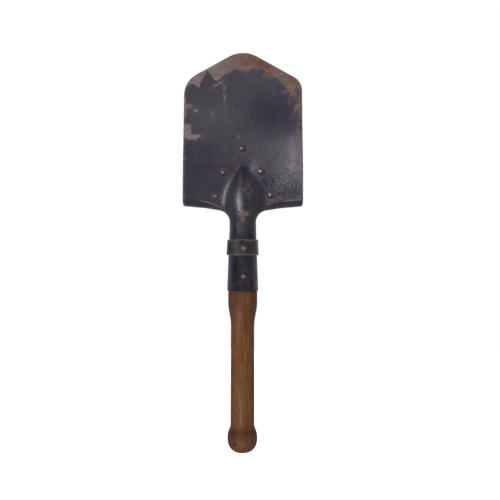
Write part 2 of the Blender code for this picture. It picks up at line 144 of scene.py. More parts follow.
def bump_at(x, z, centre, radii, tilt=0.0):
    """1 at the centre of a soft ellipse and 0 far from it."""
    return np.exp(-ellipse_reach(x, z, centre, radii, tilt))


def inside_ellipse(x, z, centre, radii, tilt=0.0):
    """Roughly how many millimetres inside an ellipse's edge a point is, negative outside."""
    return (1 - np.sqrt(ellipse_reach(x, z, centre, radii, tilt))) * min(radii)


def bumps(x, z, spots):
    """Each spot's strength at a point. A spot is a centre, half-lengths, a tilt if any, and a strength."""
    return [strength * bump_at(x, z, *ellipse) for *ellipse, strength in spots]


# ---------------- pressed sheets


def socket_radius(z):
    return NECK_RADIUS + SOCKET_TAPER * np.maximum(NECK_Z - z, 0.0)


def shoulder_level(x):
    bend_x, bend_z = SHOULDER_BEND
    inner = SHOULDER_AT_NECK + (bend_z - SHOULDER_AT_NECK) * x / bend_x
    outer = bend_z + (LOWER_CORNER[1] - bend_z) * (x - bend_x) / (LOWER_CORNER[0] - bend_x)
    return np.where(x < bend_x, inner, outer)


def lip_line(x):
    """The height of the line along which the wings' lower edge is bent to the rear."""
    share = np.clip((np.abs(x) - LIP_FROM) / (LIP_FULL - LIP_FROM), 0.0, 1.0)
    return shoulder_level(np.abs(x)) + LIP_HEIGHT * share * (2 - share)


def dish(x, z):
    """The hollow that brings the sides and the tip forward, and the lip bent to the rear."""
    depth = DISH_DEPTH * smooth(z, NECK_Z, -NECK_Z)
    depth = depth + LOW_DISH_DEPTH * smooth(z, LOW_DISH_FROM, LOW_DISH_TO) * smooth(z, NECK_Z, LOW_DISH_TO)
    above = np.maximum(z - TIP_TILT_FROM, 0.0)
    tilt = TIP_TILT * above**2 / (above + TIP_TILT_SOFTNESS)
    below = np.maximum(lip_line(x) - z, 0.0)
    bend = LIP_SLOPE * below**2 / (below + LIP_SOFTNESS)
    return bend * smooth(np.abs(x), LIP_FROM, LIP_BENT_AT) - depth * (x / HALF_WIDTH) ** 2 - tilt


class SocketHalf:
    """The half socket and its bulge, with a soft foot where it meets the sheet."""

    def __init__(self, facing, fillet_radius, level, outer, flare_to, foot_half_width, strip_half_width):
        slope = math.atan2(outer[1] - level, outer[0] - NECK_RADIUS)
        self.facing = facing
        self.fillet_radius = fillet_radius
        self.fillet_turn = math.pi / 2 - slope
        self.fillet_bottom = level - fillet_radius * math.tan(self.fillet_turn / 2)
        self.wing_x, self.wing_from = self.fillet_point(WING_START)
        self.flare_to = flare_to
        self.foot_half_width = foot_half_width
        self.strip_half_width = strip_half_width

    def fillet_point(self, turn):
        x = NECK_RADIUS + self.fillet_radius * (1 - math.cos(turn))
        return x, self.fillet_bottom + self.fillet_radius * math.sin(turn)

    def bulge_half_width(self, z):
        turn = np.clip((z - self.fillet_bottom) / self.fillet_radius, 0, 0.95)
        fillet = NECK_RADIUS + self.fillet_radius * (1 - np.sqrt(1 - turn**2))
        share = np.clip((z - self.wing_from) / (self.flare_to - self.wing_from), 0, 1)
        flare = self.wing_x + (self.foot_half_width - self.wing_x) * (share + share**2 - share**3)
        rise = np.clip((z - self.flare_to) / (TULIP_APEX_Z - self.flare_to), 0, 1)
        ogive = self.foot_half_width * (1 - rise**2)
        width = np.where(z <= self.fillet_bottom, socket_radius(z), fillet)
        width = np.where(z > self.wing_from, flare, width)
        return np.where(z > self.flare_to, ogive, width)

    def edge_height(self, z):
        rise = smooth(z, self.fillet_bottom, self.wing_from)
        return SEAM_Y + (FLANGE_Y - SEAM_Y) * rise

    def crown_height(self, z):
        rise = np.clip((z - CROWN_FROM_Z) / (TULIP_APEX_Z - CROWN_FROM_Z), 0, 1)
        pressed = FLANGE_Y + (NECK_RADIUS - FLANGE_Y) * (1 - rise**2)
        return np.where(z <= CROWN_FROM_Z, socket_radius(z), pressed)

    def surface(self, x, z):
        """The outer face's y over any x and z of the sheet."""
        edge = self.edge_height(z)
        pressed = smooth(z, self.fillet_bottom, self.flare_to)
        half_width = np.maximum(self.bulge_half_width(z) - 1.7 * FOOT_FILLET * pressed, 0.0030)
        level = 1 - (x / half_width) ** 2
        softness = 2 * FOOT_FILLET / half_width
        soft = softness * np.logaddexp(0, level / softness)
        profile = (1 - pressed) * np.sqrt(np.maximum(level, 0)) + pressed * soft
        crown = np.maximum(self.crown_height(z) - edge, 0)
        return self.facing * (edge + crown * profile) + dish(x, z)


FRONT = SocketHalf(-1, 0.015, SHOULDER_AT_NECK, SHOULDER_BEND, 0.009, 0.026, 0.012)
REAR = SocketHalf(1, 0.017, STRAP_AT_NECK, STRAP_FOOT, 0.020, 0.0215, 0.006)


def corner_arc(before, corner, after, radius, count=9):
    corner = np.array(corner)
    inward = np.array(before) - corner
    onward = np.array(after) - corner
    inward = inward / np.linalg.norm(inward)
    onward = onward / np.linalg.norm(onward)
    half_angle = math.acos(np.clip(inward @ onward, -1, 1)) / 2
    if radius == 0 or half_angle > math.radians(89.9):
        return [corner]
    middle = (inward + onward) / np.linalg.norm(inward + onward)
    centre = corner + middle * radius / math.sin(half_angle)
    start = corner + inward * radius / math.tan(half_angle) - centre
    turn = math.pi - 2 * half_angle
    side = math.copysign(1, start[0] * onward[1] - start[1] * onward[0])
    arc = []
    for step in np.linspace(0, turn * side, count):
        spin = np.array([[math.cos(step), -math.sin(step)], [math.sin(step), math.cos(step)]])
        arc.append(centre + spin @ start)
    return arc


def outline_path(corners, half):
    """|x|, z points round the corners, then the fillet down to where the wing starts."""
    turns = np.linspace(half.fillet_turn, WING_START, 12)
    fillet = [half.fillet_point(turn) for turn in turns]
    corners = corners + [(fillet[0], 0)]
    path = [np.array(corners[0][0])]
    for before, (corner, radius), after in zip(corners, corners[1:], corners[2:]):
        path += corner_arc(before[0], corner, after[0], radius)
    return np.vstack(path + fillet)


def tip_height(x):
    tangent = TIP_RADIUS * math.sin(TIP_SLOPE)
    centre = TIP_Z - TIP_RADIUS
    if abs(x) < tangent:
        return centre + math.sqrt(TIP_RADIUS**2 - x**2)
    return centre + TIP_RADIUS * math.cos(TIP_SLOPE) - (abs(x) - tangent) * math.tan(TIP_SLOPE)


def blade_outline(side):
    tangent = TIP_RADIUS * math.sin(TIP_SLOPE)
    corners = [((x, tip_height(x)), 0) for x in np.linspace(FRONT.strip_half_width, tangent, 6)]
    upper = (HALF_WIDTH - NARROWING, tip_height(HALF_WIDTH - NARROWING))
    corners.append((upper, UPPER_CORNER_RADIUS[side]))
    corners += [SIDE_CURVE, (LOWER_CORNER, LOWER_CORNER_RADIUS), (SHOULDER_BEND, SHOULDER_BEND_RADIUS)]
    return outline_path(corners, FRONT), upper, LOWER_CORNER


def strap_outline(side):
    corners = [((REAR.strip_half_width, STRAP_TOP[1]), 0), (STRAP_TOP, STRAP_TOP_RADIUS)]
    corners += [STRAP_SIDE, (STRAP_FOOT, STRAP_FOOT_RADIUS)]
    return outline_path(corners, REAR), STRAP_TOP, STRAP_FOOT


def shares_along(path):
    lengths = np.linalg.norm(np.diff(path, axis=0), axis=1)
    return np.concatenate([[0], np.cumsum(lengths)]) / lengths.sum()


def stretch(path, start, end, shares):
    at = shares_along(path)
    wanted = start + (end - start) * shares
    return np.column_stack([np.interp(wanted, at, path[:, 0]), np.interp(wanted, at, path[:, 1])])


def share_near(path, point):
    return shares_along(path)[np.argmin(np.linalg.norm(path - np.array(point), axis=1))]


def wing_plan(inner, outline, steps, rises):
    """x and z over one wing: a patch blended between the strip's edge, the side, the foot and the tip."""
    path, upper, lower = outline
    upper_share, lower_share = share_near(path, upper), share_near(path, lower)
    outs = np.linspace(0, 1, steps + 1)
    outer = stretch(path, lower_share, upper_share, rises)
    bottom = stretch(path, 1, lower_share, outs)
    top = stretch(path, 0, upper_share, outs)
    u, v = outs[None, :, None], rises[:, None, None]
    sides = (1 - u) * inner[:, None, :] + u * outer[:, None, :]
    ends = (1 - v) * bottom[None] + v * top[None]
    low = (1 - u) * bottom[0] + u * bottom[-1]
    high = (1 - u) * top[0] + u * top[-1]
    return sides + ends - (1 - v) * low - v * high


def strip_plan(half, top_height, spacing, steps):
    """x and z over the middle strip, and the index of the row where the wings start."""
    across = np.linspace(-1, 1, steps + 1)
    socket = np.arange(MOUTH_Z, half.wing_from, spacing)
    tops = np.array([top_height(share * half.strip_half_width) for share in across])
    count = int((tops.max() - half.wing_from) / spacing)
    rises = np.linspace(0, 1, count + 1)
    rises = 0.85 * rises + 0.15 * rises**2
    low_z = np.repeat(socket[:, None], steps + 1, axis=1)
    high_z = half.wing_from + (tops[None, :] - half.wing_from) * rises[:, None]
    z = np.vstack([low_z, high_z])
    pressed = smooth(z, half.fillet_bottom, half.flare_to)
    spread = (1 - pressed) * np.sin(across * math.pi / 2) + pressed * across
    width = np.maximum(half.bulge_half_width(z), half.strip_half_width)
    return width * spread, z, len(socket), rises


def patches_of(half, outline, top_height, spacing, strip_steps, wing_steps):
    """The sheet's outer face as grids of points: the strip and the two wings."""
    x, z, start, rises = strip_plan(half, top_height, spacing, strip_steps)
    patches = [np.dstack([x, half.surface(x, z), z])]
    inner = np.column_stack([x[start:, -1], z[start:, -1]])
    for side in (-1, 1):
        plan = wing_plan(inner, outline(side), wing_steps, rises)
        wx, wz = side * plan[:, :, 0], plan[:, :, 1]
        grid = np.dstack([wx, half.surface(wx, wz), wz])
        grid[:, 0] = patches[0][start:, 0 if side < 0 else -1]
        patches.append(grid if side > 0 else grid[:, ::-1])
    return patches


def mesh_from(patches, flip=False):
    """One bmesh of all the grids, with the points that neighbours share merged."""
    mesh = bmesh.new()
    for grid in patches:
        rows = [[mesh.verts.new(point) for point in row] for row in grid]
        for lower, upper in zip(rows, rows[1:]):
            for a, b, c, d in zip(lower, lower[1:], upper[1:], upper):
                mesh.faces.new((a, d, c, b) if flip else (a, b, c, d))
    bmesh.ops.remove_doubles(mesh, verts=mesh.verts, dist=1e-6)
    return mesh


def new_object(name, data):
    made = bpy.data.objects.new(name, data)
    bpy.context.scene.collection.objects.link(made)
    return made


def new_piece(name, mesh):
    data = bpy.data.meshes.new(name)
    mesh.to_mesh(data)
    mesh.free()
    data.shade_smooth()
    return new_object(name, data)


def points_of(piece):
    points = np.empty(len(piece.data.vertices) * 3)
    piece.data.vertices.foreach_get("co", points)
    return points.reshape(-1, 3)


def set_points(piece, points):
    piece.data.vertices.foreach_set("co", points.ravel())
    piece.data.update()


def write_fields(piece, **fields):
    """Writes the fields that the materials read, one value for each point or one for the whole piece."""
    count = len(piece.data.vertices)
    for name, values in fields.items():
        field = piece.data.attributes.new(name, "FLOAT", "POINT")
        field.data.foreach_set("value", np.full(count, values, dtype=np.float32))


def thicken(piece, materials):
    """Gives the sheet its thickness behind its outer face, and rounds the cut edge."""
    for material in materials:
        piece.data.materials.append(material)
    solid = piece.modifiers.new("thickness", "SOLIDIFY")
    solid.thickness = SHEET
    solid.offset = -1
    solid.material_offset = 1
    edge = piece.modifiers.new("rounded_edge", "BEVEL")
    edge.width = 0.0004
    edge.segments = 2
    edge.limit_method = "ANGLE"
    edge.angle_limit = math.radians(55)


def edge_distance(x, z, outlines):
    """Millimetres from each point to the nearest cut edge of the sheet."""
    nearest = np.full(len(x), 1e3)
    for side, path in outlines.items():
        dense = stretch(path, 0, 1, np.linspace(0, 1, 700)) / MM
        for chunk in np.array_split(np.arange(len(x)), 12):
            gap = np.hypot(x[chunk, None] - side * dense[None, :, 0], z[chunk, None] - dense[None, :, 1])
            nearest[chunk] = np.minimum(nearest[chunk], gap.min(axis=1))
    return nearest


# ---------------- wear on the blade, in millimetres

# Where the paint ends below the tip, left to right: listed points of a worn, ragged line.
PAINT_EDGE = [
    (-76, 146), (-71, 152), (-66.5, 157.5), (-61, 157), (-57.5, 153.5), (-54.5, 154), (-53, 160.5),
    (-49.5, 163.5), (-47.5, 172.5), (-44.5, 174), (-41.5, 172.5), (-39, 167.5), (-36, 164), (-32.5, 162),
    (-28, 164), (-24, 170), (-17.5, 171.5), (-13, 175), (-8, 176.5), (2, 174.5), (8, 175.5), (15, 178),
    (26, 177), (29, 171.5), (36, 166), (39.5, 168), (42.5, 165.5), (46.5, 161.5), (51, 157), (54, 152.5),
    (56.5, 148), (60.5, 143), (62.5, 143.5), (63.5, 148.5), (66.5, 154), (70, 152), (76, 138),
]
# Bare patches: centre, half-lengths, tilt if any.
BARE_PATCHES = [
    ((-68.5, 130), (4.6, 2.6)), ((-72.5, 121), (2.2, 5.5)), ((-59.5, 124.3), (2.8, 1.3), 10),
    ((-38.4, 120.4), (1.2, 1.3)), ((-22.8, 140), (0.45, 5.5), 4), ((-30, 158.5), (4.0, 0.9), 30),
    ((-71, 98.5), (6.6, 9.0)), ((-63, 91.8), (12.5, 3.4), 3), ((-4.8, 91.9), (0.8, 0.7)),
    ((65.6, 127.5), (1.8, 6.5), -22), ((64.8, 143), (1.2, 5.0), -8), ((54.8, 148.2), (2.4, 1.0), 15),
    ((68.2, 99.5), (1.5, 4.2)), ((69.3, 108.3), (1.4, 2.2)), ((69.8, 131), (1.6, 9.0)),
    ((-3.4, -5.4), (1.4, 2.6), 10), ((6.6, -2.6), (1.6, 1.2)),
    ((6.8, 30.5), (0.5, 1.3)), ((3.6, 26.0), (0.7, 0.5)), ((7.4, 22.0), (1.2, 0.6), 20),
    ((5.2, 18.2), (0.8, 0.9)), ((8.4, 15.0), (0.5, 0.8)), ((-3.4, 38.0), (0.3, 1.0)),
    ((-48, 171), (0.9, 1.4)), ((58.5, 138.5), (0.9, 3.0), -10),
]
# Places worn through in specks only: centre, half-lengths, how far the paint still covers them.
WORN_THROUGH = [((1.0, -4.6), (9.8, 6.0), 2.1), ((1.0, -11.5), (7.5, 7.0), 4.0), ((6.5, 22), (4.5, 9), 4.7)]
# Rust and brown stain, as spots.
RUST_SPOTS = [
    ((21, 183.8), (15, 5.6), -24, 1.0), ((6, 187), (20, 7.0), -6, 0.45), ((30, 168.3), (8.5, 3.8), 1.2),
    ((36, 174), (6, 3), -30, 0.5), ((73.5, 150), (2.4, 14), 0.7), ((74, 122), (1.8, 18), 0.5),
    ((74.3, 70), (1.2, 40), 0.3), ((-74, 60), (1.0, 50), 0.35), ((29.5, 26.9), (4.4, 4.8), 0.70),
    ((-50, 10.5), (7, 2.0), 0.35), ((-52, 50), (4, 5), 0.16), ((4, -12), (7, 6), 0.35),
    ((62, 158), (16, 12), 0.30), ((0, -25), (15, 8), 0.45), ((6, -84), (5, 22), 0.42),
    ((7, -30), (4, 12), 0.30), ((12, -70), (2, 26), 0.30),
]


def blade_bare(x, z, distance):
    """How far inside bare steel a point of the front face is. Negative is how far under paint."""
    line = np.interp(x, [p[0] for p in PAINT_EDGE], [p[1] for p in PAINT_EDGE])
    bare = np.clip(z - line, -8, 8)
    for ellipse in BARE_PATCHES:
        bare = np.maximum(bare, inside_ellipse(x, z, *ellipse))
    for *ellipse, depth in WORN_THROUGH:
        bare = np.maximum(bare, inside_ellipse(x, z, *ellipse) - depth)
    bare = np.maximum(bare, 5.5 * (rivet_rings(x, z) - 0.85))
    edge = np.where(z > 120, 1.2, np.where((x > 0) & (z > 55), 1.5, 0.55)) - distance
    return np.maximum(bare, edge)


def rivet_rings(x, z):
    """Brown rings where the rivet heads have rubbed through, broken up round each head."""
    rings = np.zeros(len(x))
    for number, (cx, cz) in enumerate(RIVETS.values()):
        dx, dz = x - cx / MM - 0.25, z - cz / MM + 0.35
        reach = np.hypot(dx, dz)
        angle = np.arctan2(dz, dx)
        around = 0.85 + 0.35 * np.sin(2 * angle + 1.7 * number + 0.8) * np.cos(angle * 3 - number)
        rings = np.maximum(rings, around * np.exp(-(((reach - 5.7) / 0.8) ** 2)))
    return rings


def bend_scuff(x, z):
    """Paint lightened along the bend of the shoulder lip, and on the foot of the bulge: rubbed thin on the
    right, a painted highlight on the left.
    """
    level = lip_line(x * MM) / MM - 0.4
    line = np.exp(-(((z - level) / 0.8) ** 2))
    reach = np.abs(x)
    left = (x < 0) * smooth(reach, 62, 40) * smooth(reach, 24, 30)
    right = (x > 0) * smooth(reach, 46, 56) * smooth(reach, 76, 72)
    return line * (0.85 * left + 0.75 * right)


def make_blade(materials):
    outlines = {side: blade_outline(side)[0] for side in (-1, 1)}
    patches = patches_of(FRONT, blade_outline, tip_height, *BLADE_MESH)
    blade = new_piece("blade_pressing", mesh_from(patches))
    points = points_of(blade)
    x, z = points[:, 0], points[:, 2]
    distance = edge_distance(x / MM, z / MM, outlines)
    points[:, 1] += hammered(x, z) * smooth(z, -0.010, 0.020)
    nick = wobble(x, 0 * x, z, 0.006, 3.1) + 0.6 * wobble(x, 0 * x, z, 0.0025, 9.4)
    points[:, 0] -= np.sign(x) * 0.00022 * np.maximum(nick, 0) * np.exp(-distance / 2) * (z > 0.02)
    set_points(blade, points)
    x, z = x / MM, z / MM
    write_fields(
        blade,
        bare=blade_bare(x, z, distance),
        bare_back=blade_bare(-x * 0.97 + 2, z + 4, distance),
        rust=np.maximum.reduce(bumps(x, z, RUST_SPOTS)) + 0.6 * rivet_rings(x, z),
        scuff=bend_scuff(x, z),
        grime=blade_grime(x, z),
        polish=polish(x, z),
        shine=shine(x, z),
        flaws=flaws(x, z),
        warm=smooth(x, -45, 5) * (1 - 0.6 * smooth(z, 30, 10)),
    )
    thicken(blade, materials)
    return blade


# Shallow dents: centre, half-lengths, depth.
DENTS = [
    ((-20, 120), (9, 9), 0.12), ((38, 96), (7, 7), 0.10), ((-48, 44), (8, 8), 0.10),
    ((52, 34), (10, 10), 0.14), ((8, 56), (7, 7), 0.25),
]


def hammered(x, z):
    """The pressing's slight unevenness: broad ripples and a few shallow dents."""
    ripple = 0.00016 * wobble(x, 0 * x, z, 0.055, 1.7) + 0.00005 * wobble(x, 0 * x, z, 0.018, 5.2)
    crease = smooth(x, 0.0565, 0.0670) * smooth(z, 0.030, 0.060) * smooth(z, 0.102, 0.078)
    return ripple - 0.00042 * crease + MM * sum(bumps(x / MM, z / MM, DENTS))


def polish(x, z):
    """How glossy the paint is: the lower blade is, and the socket and the rubbed upper half are not."""
    edge = 94 + 14 * wobble(x, 0 * x, z, 26.0, 8.8)
    width = 34 - 24 * smooth(x, -10, 55)
    lower = smooth(z, edge + width, edge - width) * smooth(z, -14, 4)
    bulge = smooth(np.abs(x), FRONT.bulge_half_width(z * MM) / MM + 3, 12)
    apex = 1 - 0.7 * bump_at(x, z, (0, 51), (9, 7))
    socket_edge = 0.6 * smooth(z, -14, -30) * smooth(np.abs(x), 9, 15)
    return lower * (0.78 + 0.22 * bulge * (z < 58)) * apex + socket_edge


# Where the paint shines more or less than elsewhere, as spots.
SHINE_SPOTS = [
    ((66, 18), (40, 15), -0.65), ((60, 48), (34, 22), -0.40), ((28, 34), (10, 18), -0.50),
    ((42, 122), (38, 30), -0.75), ((-42, 116), (32, 22), 0.70), ((-55, 12), (22, 8), 0.60),
    ((-1, 47), (8, 10), -0.80), ((-5, -6), (10, 9), -0.35), ((12, 54), (6, 9), 0.90),
    ((-4, 38), (5, 7), -0.50), ((60, 62), (12, 16), 0.25), ((50, 40), (18, 14), 0.15),
    ((-22, 25), (18, 4), 71, 0.35), ((-6, 12), (5, 12), 0.75), ((-10.5, -22), (1.8, 16), -0.60),
    ((-9, -78), (4, 30), -0.40), ((-4, -25), (14, 6), 0.22),
]


def shine(x, z):
    """The paint's specular level before its flaws."""
    socket = smooth(z, -14, -30)
    level = 1.0 + sum(bumps(x, z, SHINE_SPOTS))
    return level - 0.45 * socket + 0.60 * socket * smooth(np.abs(x), 10, 15.5)


def flaws(x, z):
    """Where the paint is pitted and cracked through to a dull dark ground."""
    lower_right = 0.95 * bump_at(x, z, (50, 34), (28, 20))
    crown = 0.75 * bump_at(x, z, (-2, 6), (14, 24)) + 0.5 * bump_at(x, z, (-22, 42), (24, 24))
    return 0.12 + lower_right + crown + 1.2 * bump_at(x, z, (1, -6), (10, 8))


# Dirty smudges, and painted shade on the bulge's flanks and in a dark strip down the left of the neck and
# socket, as spots.
SMUDGES = [
    ((-18, 104), (22, 5), 0.45), ((-14, 14), (5, 18), 0.5), ((8, 20), (12, 26), 0.25),
    ((-10, -24), (1.7, 14), 0.9), ((-9, -78), (4.5, 30), 0.6),
]


def blade_grime(x, z):
    """Darker round the bulge's foot and over the socket, a dirty smudge on the upper blade, and painted shade
    on the bulge's flanks and in a dark strip down the left of the neck and socket.
    """
    foot = np.exp(-(((np.abs(x) - FRONT.bulge_half_width(z * MM) / MM - 0.5) / 2.2) ** 2))
    socket = 1.0 * smooth(z, -14, -34) + 0.35 * smooth(z, 6, -6) * smooth(z, -30, -14)
    return 0.6 * foot * (z > -8) * (z < 54) + socket + sum(bumps(x, z, SMUDGES))


STRAP_BARE_PATCHES = [
    ((0, -6), (8, 14)), ((4, 20), (4, 9), 10), ((-20, 30), (2.4, 1.2), 20), ((12, 60), (1.2, 3)),
]


def make_strap(materials):
    outlines = {side: strap_outline(side)[0] for side in (-1, 1)}
    patches = patches_of(REAR, strap_outline, lambda x: STRAP_TOP[1], *STRAP_MESH)
    strap = new_piece("rear_strap_pressing", mesh_from(patches, flip=True))
    x, z = points_of(strap)[:, ::2].T / MM
    distance = edge_distance(x, z, outlines)
    bare = 0.5 - distance
    for ellipse in STRAP_BARE_PATCHES:
        bare = np.maximum(bare, inside_ellipse(x, z, *ellipse) - 0.8)
    write_fields(
        strap,
        bare=bare,
        rust=0.5 * rivet_rings(x, z) + 0.5 * bump_at(x, z, (4, 0), (12, 14)),
        scuff=0.0,
        grime=np.exp(-distance / 2.5) * 0.5,
        polish=0.5 * smooth(z, -10, 8),
        warm=0.7,
        flaws=0.4,
    )
    thicken(strap, materials)
    return strap


# ---------------- collar, handle and rivets


def lathe(name, profile, steps, shift=None):
    """A closed solid from (radius, z) points run down the outer side. shift may move the points."""
    profile = np.array(profile)
    angles = np.linspace(0, 2 * math.pi, steps, endpoint=False)
    mesh = bmesh.new()
    rings = []
    for radius, z in profile:
        if radius < 1e-7:
            rings.append([mesh.verts.new((0, 0, z))] * steps)
        else:
            rings.append([mesh.verts.new((radius * math.cos(a), radius * math.sin(a), z)) for a in angles])
    pairs = list(zip(rings, rings[1:]))
    if profile[0][0] > 1e-7:
        pairs.append((rings[-1], rings[0]))
    for upper, lower in pairs:
        for i in range(steps):
            j = (i + 1) % steps
            mesh.faces.new(list(dict.fromkeys([upper[i], lower[i], lower[j], upper[j]])))
    piece = new_piece(name, mesh)
    if shift:
        set_points(piece, shift(points_of(piece)))
    return piece


def arc_points(centre, radius, start, end, count):
    angles = np.radians(np.linspace(start, end, count))
    return [(centre[0] + radius * math.cos(a), centre[1] + radius * math.sin(a)) for a in angles]


def make_collar(material):
    """The tapered band, with its driven-over top edge and the round stake mark below it."""
    top, bottom = COLLAR_HIGH[2], COLLAR_LOW[2]
    outer_bottom = COLLAR_HIGH[0]
    outer_top = outer_bottom - COLLAR_TAPER
    inner_top, inner_bottom = socket_radius(top) + 0.0001, socket_radius(bottom) + 0.0001
    profile = arc_points((outer_top - 0.0009, top - 0.0009), 0.0009, 90, 5, 5)
    levels = np.linspace(top - 0.0016, bottom + 0.0012, 26)
    profile += [(np.interp(z, [bottom, top], [outer_bottom, outer_top]), z) for z in levels]
    profile += arc_points((outer_bottom - 0.0005, bottom + 0.0005), 0.0005, 0, -90, 4)
    profile += [(inner_bottom + 0.0003, bottom), (inner_bottom, bottom + 0.0003)]
    profile += [(inner_top, top - 0.0003), (inner_top + 0.0003, top)]

    def shift(points):
        x, y, z = points.T
        front = smooth(-y, 0.010, 0.015)
        pushed = 0.0015 * bump_at(x / MM, z / MM, STAKE_MM, (2.7, 2.5)) * front
        swell = 0.0008 * np.exp(-(((x - 0.0005) / 0.0042) ** 2)) * front * smooth(z, top - 0.006, top)
        dents = 0.00016 * wobble(x, y, z, 0.009, 2.3) + 0.00009 * wobble(x, y, z, 0.003, 7.7)
        radius = np.hypot(x, y)
        outside = radius > socket_radius(z) + 0.001
        scale = 1 + np.where(outside, (dents - pushed) / radius, 0)
        edge_rise = swell + 0.00022 * wobble(x, y, 0 * z, 0.008, 4.4) * smooth(z, top - 0.004, top)
        return np.column_stack([x * scale, y * scale, z + edge_rise])

    collar = lathe("collar_band", profile, 160, shift)
    x, y, z = points_of(collar).T
    from_edge = np.minimum(top - z, z - bottom) / MM
    bare = 1.1 - from_edge + 0.45 * wobble(x, y, z, 0.004, 1.0)
    x, z, front = x / MM, z / MM, y < 0
    stake = bump_at(x, z, STAKE_MM, (3.2, 3.0)) * front
    # Painted shade: a dark band down the left of the band's front.
    left = bump_at(x, z, (-15, -48), (5, 8)) * front
    right = bump_at(x, z, (9, -50), (7, 6)) * front
    corner = 0.8 * np.exp(-from_edge) * (from_edge > 0.7)
    write_fields(
        collar,
        bare=bare - 1.6 * bump_at(x, z, (0.5, -37.5), (2.4, 3)),
        rust=np.clip(0.12 * np.exp(-from_edge / 0.8) + 0.45 * right, 0, 1),
        # Painted highlight: a paler patch left of the middle of the band's front.
        scuff=0.25 * bump_at(x, z, (-9, -46), (4, 9)) * front,
        polish=0.9 * smooth(x, 5, 12),
        warm=0.30,
        flaws=1.2,
        grime=np.clip(1.6 * stake + corner + left, 0, 1.6),
    )
    collar.data.materials.append(material)
    return collar


def handle_radius(z):
    """Shoulder, flare and grip, and the ball at the end, with a small fillet above the ball."""
    grip = GRIP_RADIUS + GRIP_SWELL * np.clip((FLARE_TO - z) / GRIP_LENGTH, 0, None)
    radius = SHOULDER_RADIUS + (grip - SHOULDER_RADIUS) * smooth(z, FLARE_FROM, FLARE_TO)
    ball = ball_radius(z)
    return (radius + ball + np.sqrt((radius - ball) ** 2 + 0.0006**2)) / 2


def ball_radius(z):
    """The ball is an ellipse above its widest level, and a little squarer below it."""
    height = np.where(z > BALL_Z, BALL_ABOVE, BALL_BELOW)
    power = np.where(z > BALL_Z, 2.0, 2.3)
    share = np.clip(np.abs(z - BALL_Z) / height, 0, 1)
    return HANDLE_HIGH[0] * (1 - share**power) ** (1 / power)


def handle_profile():
    mouth = MOUTH_Z - 0.0003
    neck, inner = (float(socket_radius(z)) - SHEET - 0.0002 for z in (NECK_Z, MOUTH_Z))
    turns = np.linspace(0, math.pi / 2, 14)
    profile = [(0.0119 * math.sin(turn), HANDLE_HIGH[2] * math.cos(turn)) for turn in turns]
    profile[0] = (0.0, HANDLE_HIGH[2])
    profile += [(neck, NECK_Z), (inner, MOUTH_Z + 0.001), (inner, mouth)]
    profile += [(0.0176, mouth), (0.0179, mouth - 0.0001), (0.0181, mouth - 0.0004)]
    profile += [(float(handle_radius(z)), z) for z in np.linspace(mouth - 0.001, BALL_Z, 175)]
    levels = BALL_Z - BALL_BELOW * np.sin(np.linspace(0, math.pi / 2, 34)[1:-1])
    profile += [(float(ball_radius(z)), z) for z in levels]
    return profile + [(0.0, HANDLE_LOW[2])]


# Pale streaks down the front of the wood, partly rubbed by hands and partly a painted highlight, and its nail
# hole and dents, as spots.
RUBBED = [((-4.0, -132), (3.2, 17), 0.9), ((-2.5, -250), (2.6, 26), 0.8), ((-2, -291), (7, 5), 0.7)]
HANDLE_DENTS = [(NAIL_MM, (1.1, 1.3), 1.3), ((9, -287), (1.6, 1.2), 0.3), ((3, -222), (1.0, 3.0), 0.2)]


def make_handle(material):
    """The turned handle, a little out of round, with a nail hole and small dents in the ball."""

    def shift(points):
        x, y, z = points.T
        outside = z < MOUTH_Z - 0.0002
        radius = np.maximum(np.hypot(x, y), 1e-6)
        worn = 0.00014 * wobble(x, y, z * 0.35, 0.014, 1.3) + 0.00006 * wobble(x, y, z * 0.5, 0.005, 6.1)
        dents = MM * sum(bumps(x / MM, z / MM, HANDLE_DENTS)) * (y < 0)
        groove = 0.00012 * np.exp(-(((z + 0.2722) / 0.0009) ** 2))
        scale = 1 + outside * (worn - dents - groove) / radius * np.minimum(radius / 0.006, 1)
        return np.column_stack([x * scale, y * scale, z])

    handle = lathe("turned_handle", handle_profile(), 128, shift)
    x, y, z = points_of(handle).T / MM
    front = y < 0
    uneven = 0.55 + 0.45 * wobble(x, y, z, 7.0, 2.0)
    end_grain = 0.85 * smooth(z, -108, -101) * uneven * (1 + 0.5 * (x > 4))
    shoulder = 0.50 * smooth(z, -152, -118)
    band = 0.75 * np.exp(-(((z + 277) / 5.5) ** 2)) + 0.35 * smooth(z, -270, -284)
    nail = bump_at(x, z, NAIL_MM, (1.7, 1.9)) * front * 3
    groove = 0.6 * np.exp(-(((z + 272.2) / 0.9) ** 2))
    # Painted shade: the front of the wood is darkened towards its left and right sides, in the same field as
    # the real stains.
    sides = (0.36 * smooth(x, -5, -14) + 0.25 * smooth(x, 8, 15)) * front
    stain = np.maximum.reduce([end_grain, shoulder, band, nail, groove]) + sides
    write_fields(handle, stain=np.clip(stain, 0, 3), rub=np.maximum.reduce(bumps(x, z, RUBBED)) * front)
    handle.data.materials.append(material)
    return handle


def face_frame(x, z):
    """A matrix whose Z is the blade's outward normal at a point of its front face."""
    step = 0.0006

    def face(x, z):
        return float(FRONT.surface(np.float64(x), np.float64(z)))

    across = (face(x + step, z) - face(x - step, z)) / (2 * step)
    along = (face(x, z + step) - face(x, z - step)) / (2 * step)
    normal = Vector((across, -1, along)).normalized()
    return Matrix.Translation((x, face(x, z), z)) @ normal.to_track_quat("Z", "Y").to_matrix().to_4x4()


